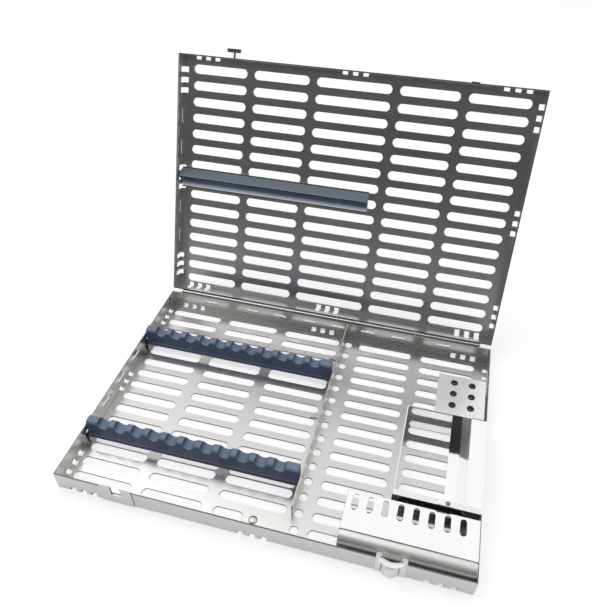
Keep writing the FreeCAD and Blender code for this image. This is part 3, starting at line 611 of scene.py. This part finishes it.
def slotted_sheets():
    """The tray's floor and walls, and the lid's panel and flanges."""
    floor = [seed(x, 10, 44, SLOT_BREADTH) for x in (26.5, 78.3, 195.3, 247.1)]
    floor += [seed(132.1, 10, 48, SLOT_BREADTH, skip=1), seed(118.6, 10, 21, SLOT_BREADTH, take=1)]
    floor += [seed(164.2, 10, 6.2, 6.2), seed(136.3, 10, 3.2, 3.2, take=1)]
    place = frame_at(tray_spot(METAL, METAL, 0), ACROSS, BACK)
    sheet_piece("base_floor", place, floor, SLOT_ROWS, (0, 12.5, 0), lit_floor_finish)

    columns = ((29.95, 45.1), (81.05, 45.1), (139, 58.8), (196.95, 45.1), (248.05, 45.1))
    panel = [seed(x, 7.26, long, SLOT_BREADTH) for x, long in columns]
    place = frame_at(lid_spot(METAL, PANEL_OUT, PANEL_LIFT), ACROSS, LID_OUT)
    sheet_piece("lid_panel", place, panel, SLOT_ROWS, (0, 12.76, 0), lid_finish)

    wall_step = (WALL_VENT_STEP, 0, 0)
    rear = [vents(75, VENT_UP, take=6), vents(37.6, 9.9, take=1), vents(242.4, 9.9, take=1)]
    place = frame_at(tray_spot(0, TRAY_DEPTH, 0), ACROSS, UP)
    sheet_piece("base_rear_wall", place, rear, 6, wall_step, tray_finish)
    place = frame_at(tray_spot(0, METAL, 0), ACROSS, UP)
    sheet_piece("base_front_wall", place, [], 1, wall_step, tray_finish)

    side = [vents(45, VENT_UP)]
    for node, across in (("base_left_wall", 0), ("base_right_wall", TRAY_WIDTH - METAL)):
        place = frame_at(tray_spot(across, METAL, 0), BACK, UP)
        sheet_piece(node, place, side, 5, (SIDE_VENT_STEP, 0, 0), tray_finish)

    for node, out in (("lid_rear_flange", PANEL_OUT), ("lid_front_flange", LID_FRONT_OUT)):
        place = frame_at(lid_spot(0, out, PANEL_LIFT), ACROSS, LID_LIFT)
        sheet_piece(node, place, [], 1, wall_step, lid_finish)

    pairs = [vents(97.9 + shift * FLANGE_VENT_STEP, 5) for shift in (-2, 1)]
    for node, across in (("lid_left_flange", 0), ("lid_right_flange", TRAY_WIDTH - METAL)):
        place = frame_at(lid_spot(across, PANEL_OUT, PANEL_LIFT), LID_OUT, LID_LIFT)
        sheet_piece(node, place, pairs, 2, (FLANGE_VENT_STEP, 0, 0), lid_finish)


def arc(across, up, radius, start, sweep, steps):
    """Points of an arc about a centre, in degrees."""
    turns = [math.radians(start + sweep * k / steps) for k in range(steps + 1)]
    return [(across + radius * math.cos(turn), up + radius * math.sin(turn)) for turn in turns]


def prism(name, outline, length, finish):
    """An outline in mm, thickened along z."""
    shape = bmesh.new()
    low, high = ([shape.verts.new((x, y, up)) for x, y in outline] for up in (0, length))
    shape.faces.new(low)
    shape.faces.new(high)
    for k in range(len(outline)):
        shape.faces.new((low[k - 1], low[k], high[k], high[k - 1]))
    return mesh_of(name, shape, finish)


def turned(name, profile, finish, steps):
    """A round piece about z from a profile of radius and height."""
    shape = bmesh.new()
    rings = {}
    for radius, up in profile:
        spots = arc(0, 0, radius, 0, 360, steps)[:-1] if radius else [(0, 0)]
        if (radius, up) not in rings:
            ring = [shape.verts.new((x, y, up)) for x, y in spots]
            rings[radius, up] = ring if radius else ring * steps
    for start, end in zip(profile, profile[1:]):
        ring, other = rings[start], rings[end]
        for k in range(steps):
            corners = dict.fromkeys((ring[k - 1], ring[k], other[k], other[k - 1]))
            shape.faces.new(tuple(corners))
    return mesh_of(name, shape, finish)


def mesh_of(name, shape, finish):
    """A plain mesh whose faces look outwards."""
    bmesh.ops.recalc_face_normals(shape, faces=shape.faces)
    mesh = bpy.data.meshes.new(name)
    shape.to_mesh(mesh)
    shape.free()
    mesh.materials.append(finish)
    return mesh


def rail_unit(name, pitch, radius, breadth, high, bend):
    """One scallop of a rail, from the middle of one hump to the middle of the next."""
    section = [(0, 0)] + arc(bend, high - bend, bend, 180, -90, 7)
    section += arc(breadth - bend, high - bend, bend, 90, -90, 7) + [(breadth, 0)]
    steps = 20
    spine = [(-pitch / 2, 0)]
    for k in range(steps + 1):
        angle = math.pi * (k / steps - 0.5)
        spine.append((radius * math.sin(angle), radius * math.cos(angle)))
    spine.append((pitch / 2, 0))
    shape = bmesh.new()
    rings = []
    for x, depth in spine:
        rings.append([shape.verts.new((x, y, min(z, high - depth))) for y, z in section])
    for ring, other in zip(rings, rings[1:]):
        for k in range(len(section)):
            after = (k + 1) % len(section)
            shape.faces.new((ring[k], other[k], other[after], ring[after]))
    return mesh_of(name, shape, silicone)


def capped(mesh):
    """Closes the open ends of a welded row."""
    shape = bmesh.new()
    shape.from_mesh(mesh)
    open_edges = [edge for edge in shape.edges if edge.is_boundary]
    bmesh.ops.holes_fill(shape, edges=open_edges, sides=0)
    bmesh.ops.recalc_face_normals(shape, faces=shape.faces)
    shape.to_mesh(mesh)
    shape.free()
    return mesh


def soft_pieces():
    """The two scalloped rails, the lid's bar and the rings of the bur stand."""
    row = row_recipe()
    for node, back in (("front_rail", 40.9), ("rear_rail", 138.7)):
        unit = rail_unit(node + "_unit", SCALLOP_PITCH, SCALLOP_RADIUS, RAIL_BREADTH, RAIL_HEIGHT,
                         RAIL_ROUNDING)
        mesh = capped(row.grow(unit, Count=SCALLOPS, Pitch=SCALLOP_PITCH, End=6.45, Finish=silicone))
        place = frame_at(tray_spot(15.6, back, 2.1), ACROSS, BACK)
        piece_for(node, node + "_scallops", mesh, place, 42)

    low = [(8.3 * k / 12, 1.6 + 7.2 * (k / 12) ** 2.3) for k in range(13)]
    high = [(10.4, 8.7), (11.2, 7.9), (12.6, 6.1), (14.2, 3.5), (15, 1.6)]
    outline = [(0, 0)] + low + [(8.9, 9), (9.8, 9)] + high + [(15, 0)]
    bar = prism("hold_down_bar", outline, BAR_LENGTH, bar_finish)
    place = frame_at(lid_spot(1.4, 93.5, -12.1), LID_OUT, LID_LIFT)
    piece_for("lid_bar", "hold_down_bar", bar, place, 30)

    profile = [(1, -1.5), (1, 0.25), (1.25, 0.5), (2.2, 0.55), (2.55, 0.4), (2.7, 0.06)]
    profile += [(2.15, 0.06), (2.15, -1.5), (1, -1.5)]
    ring = turned("ring", profile, black_silicone, 28)
    rings = grid_recipe().grow(ring, Columns=RING_COLUMNS, Rows=RING_ROWS,
                               Pitch_Across=RING_PITCH_ACROSS, Pitch_Back=RING_PITCH_BACK,
                               Finish=black_silicone)
    middle = tray_spot(242 + 11.8 + RING_PITCH_ACROSS / 2, 118.4 + 8.2 + RING_PITCH_BACK, 20)
    piece_for("bur_grommets", "bur_rings", rings, frame_at(middle, ACROSS, BACK), 50)


def cover_pieces():
    """The front box's cover: slotted top, rolled front, two cheeks, and its two pivots."""
    inner_top = COVER_TOP - THIN_METAL
    corners = [(0, 0), (27.7, 0), (27.7, COVER_WIDTH), (0, COVER_WIDTH)]
    top = sheet_base("cover_top_base", [corners], [seed(19.9, 10.2, 11.5, 4)])
    mesh = perforated.grow(top, Count=8, Step=(0, 9.7, 0), Thickness=THIN_METAL,
                           Finish=lit_polish, Edge_Finish=shaded_edge_finish)
    place = frame_at(tray_spot(COVER_LEFT + COVER_WIDTH, 10.3, COVER_TOP), BACK, -ACROSS)
    eased(piece_for("front_box_cover", "cover_top", cleared(mesh), place), SHEET_EASE)

    roll = arc(ROLL_BACK, ROLL_UP, ROLL_RADIUS, 180, -90, 20)
    roll += [(13.5, COVER_TOP), (13.5, inner_top)]
    roll += arc(ROLL_BACK, ROLL_UP, ROLL_RADIUS - THIN_METAL, 90, 90, 20)
    cheek = arc(ROLL_BACK, ROLL_UP, ROLL_RADIUS, 90, 180, 28)
    cheek += arc(24.3, 6, 1.2, 270, 90, 4) + arc(24.3, 18.4, 1.2, 0, 90, 4)
    right_cheek = COVER_LEFT + COVER_WIDTH - THIN_METAL
    folded = (
        ("cover_roll", roll, COVER_WIDTH, soft_finish, COVER_LEFT),
        ("cover_left_cheek", cheek, THIN_METAL, polish, COVER_LEFT),
        ("cover_right_cheek", cheek, THIN_METAL, polish, right_cheek),
    )
    for name, outline, length, finish, left in folded:
        mesh = prism(name, outline, length, finish)
        place = frame_at(tray_spot(left, 0, 0), BACK, UP)
        eased(piece_for("front_box_cover", name, mesh, place), PLATE_EASE)

    head = [(0, 0.8), (1.3, 0.75), (1.9, 0.5), (2.15, 0.1), (2.15, 0), (1.2, 0), (1.2, -2), (0, -2)]
    for name, left, way in (("left_pivot", 197.1, 1), ("right_pivot", 276.2, -1)):
        pin = turned(name, head, polish, 24)
        place = frame_at(tray_spot(left, ROLL_BACK, ROLL_UP), BACK * way, UP)
        piece_for("cover_pivots", name, pin, place)


def bow(chord, rise, steps=18):
    """Points of a flat arc from left to right, bowed towards the viewer."""
    radius = (chord * chord / 4 + rise * rise) / (2 * rise)
    half = math.degrees(math.asin(chord / 2 / radius))
    return arc(0, radius - rise, radius, 270 - half, 2 * half, steps)


def latch_pieces():
    """The latch's plate with its ears, the push button and the arched band."""
    ears = [(-9.5, 0.4), (9.5, 0.4)] + arc(8, 21.1, 1.5, 0, 90, 5) + arc(7.3, 21.1, 1.5, 90, 90, 5)
    ears += [(5.8, 2), (-5.8, 2)] + arc(-7.3, 21.1, 1.5, 0, 90, 5) + arc(-8, 21.1, 1.5, 90, 90, 5)
    plate = prism("latch_plate", ears, THIN_METAL, soft_finish)
    place = frame_at(tray_spot(LATCH_ACROSS, 0, 0), ACROSS, UP)
    eased(piece_for("latch_bracket", "latch_plate", plate, place), PLATE_EASE)

    front = [(x, y - THIN_METAL) for x, y in bow(11, 3.2)]
    rear = [(5.5, 0.05), (6.8, 0.05), (6.8, 0.5), (-6.8, 0.5), (-6.8, 0.05), (-5.5, 0.05)]
    button = prism("push_button", front + rear, 10.6, soft_finish)
    place = frame_at(tray_spot(LATCH_ACROSS, 0, 2.2), ACROSS, BACK)
    eased(piece_for("latch_button", "push_button", button, place, 50), 0.45, 3)

    outer = [(x, y - THIN_METAL) for x, y in bow(15.6, 2.6)]
    inner = bow(14.4, 2.55)
    band = prism("arched_band", outer + inner[::-1], 5.4, pale_finish)
    place = frame_at(tray_spot(LATCH_ACROSS, 0, 14), ACROSS, BACK)
    eased(piece_for("latch_spring", "arched_band", band, place, 50), PLATE_EASE)


def small_pieces():
    """The turning catch, its rivet and the stud in the floor."""
    tab = arc(2.5, -0.6, 1.5, -90, 90, 5) + arc(2.5, 0.6, 1.5, 0, 90, 5) + arc(-5.3, 0, 2.1, 90, 180, 9)
    plate = prism("turning_tab", tab, THIN_METAL, pale_finish)
    place = frame_at(tray_spot(CATCH_ACROSS, CATCH_BACK, 24.05), ACROSS, BACK)
    eased(piece_for("catch_tab", "turning_tab", plate, place), PLATE_EASE)

    head = [(0, 0.7), (0.8, 0.62), (1.3, 0.36), (1.6, 0), (0.8, 0), (0.8, -2.5), (0, -2.5)]
    rivet = turned("rivet", head, rivet_metal, 24)
    place = frame_at(tray_spot(CATCH_ACROSS, CATCH_BACK, 24.9), ACROSS, BACK)
    piece_for("catch_rivet", "catch_pin", rivet, place)

    dome = [(0, 1.2), (1.6, 1.16), (2.6, 0.85), (3.05, 0.3), (3.1, 0), (1.5, 0), (1.5, -1), (0, -1)]
    stud = turned("stud", dome, tray_finish, 32)
    piece_for("floor_stud", "domed_stud", stud, frame_at(tray_spot(137.3, 11, 1), ACROSS, BACK))


def lamp_card(name, centre, target, side, strength):
    """A studio lamp with a square face."""
    lamp = bpy.data.lights.new(name, "AREA")
    lamp.shape = "RECTANGLE"
    lamp.size = side
    lamp.size_y = side
    lamp.energy = strength
    made = linked(name, lamp)
    made.location = centre
    made.rotation_euler = (Vector(target) - Vector(centre)).to_track_quat("-Z", "Y").to_euler()


def flat_plate(name, centre, facing, width, height, material):
    """A studio board that stands or lies in the set."""
    x, y = width / 2, height / 2
    mesh = bpy.data.meshes.new(name)
    mesh.from_pydata([(-x, -y, 0), (x, -y, 0), (x, y, 0), (-x, y, 0)], [], [(0, 1, 2, 3)])
    mesh.materials.append(material)
    made = linked(name, mesh)
    made.location = centre
    made.rotation_euler = Vector(facing).to_track_quat("Z", "Y").to_euler()
    return made


def seen_directly(net):
    """1 for what the camera, a reflection or glass sees, and 0 for what only lights the set."""
    rays = net.tree.nodes.new("ShaderNodeLightPath")
    kinds = ("Is Camera Ray", "Is Glossy Ray", "Is Transmission Ray")
    camera, glossy, through = (Wire(net, rays.outputs[kind]) for kind in kinds)
    return (camera + glossy + through).kept()


def floor_material():
    """Pale floor: it looks white to the camera and in reflections and keeps soft shadows."""
    shader = Shader("studio_floor")
    shader.tree.nodes.remove(shader.surface)
    plain = shader.node("ShaderNodeBsdfDiffuse", {}, {"Color": (0.8, 0.8, 0.82, 1)})
    shine = {"Color": (1, 1, 1, 1), "Strength": seen_directly(shader) * 0.44}
    glow = shader.node("ShaderNodeEmission", {}, shine)
    both = shader.node("ShaderNodeAddShader", {}, {0: plain, 1: glow})
    shader.feed(shader.tree.nodes["Material Output"].inputs["Surface"], both)
    return shader.material


def board_material(name, level):
    """A dull board, a little towards blue."""
    shader = Shader(name)
    return shader.finish(Base_Color=(level, level, level * 1.05, 1), Roughness=1.0)


def light_the_set():
    """White surroundings, two soft lamps, the table, two boards for reflections and a shade."""
    world = bpy.data.worlds.new("studio")
    bpy.context.scene.world = world
    world.use_nodes = True
    net = Net(world.node_tree)
    back = net.tree.nodes["Background"]
    levels = {"Value": seen_directly(net), "To Min": 0.6, "To Max": 1.0}
    net.feed(back.inputs["Color"], (1, 1, 1, 1))
    net.feed(back.inputs["Strength"], net.node("ShaderNodeMapRange", {}, levels))

    aim = (0, 0, 0.05)
    lamp_card("key_lamp", (-0.5, 0.1, 1.3), aim, 0.9, 3.6)
    lamp_card("fill_lamp", (0.9, -0.5, 0.9), aim, 0.6, 1.2)

    flat_plate("studio_floor", (0, 0, 0), (0, 0, 1), 30, 30, floor_material())
    dark = board_material("dark_card", 0.02)
    pale = board_material("grey_board", 0.09)
    boards = (
        flat_plate("grey_board", (-0.1, -1.1, 0.45), (0, 1, -0.1), 3.0, 1.0, pale),
        flat_plate("dark_card", (0.10, -0.80, 1.15), (0, 0.6, -1), 1.1, 0.46, dark),
    )
    for board in boards:
        board.visible_camera = False
        board.visible_shadow = False
        board.visible_diffuse = False
    # Stands for the shade under the front box, just above the table.
    flat_plate("box_shade", tray_spot(236.6, 20, 0.15), (0, 0, 1), 0.080, 0.034, dark)


def stand_the_camera():
    """The camera, as it was fitted to the photograph."""
    sensor = 36
    focal_pixels, long_side_pixels = 618.0, 609
    tilt, swing = 90 - 41.55, 15.3
    camera = bpy.data.cameras.new("camera")
    camera.sensor_width = sensor
    camera.lens = focal_pixels * sensor / long_side_pixels
    camera.clip_start = 0.01
    camera.clip_end = 100
    viewer = linked("camera", camera)
    viewer.location = (0.0800, -0.2830, 0.3762)
    viewer.rotation_euler = (math.radians(tilt), 0, math.radians(swing))
    bpy.context.scene.camera = viewer
    bpy.context.scene.view_settings.view_transform = "Standard"


slotted_sheets()
soft_pieces()
cover_pieces()
latch_pieces()
small_pieces()
light_the_set()
stand_the_camera()
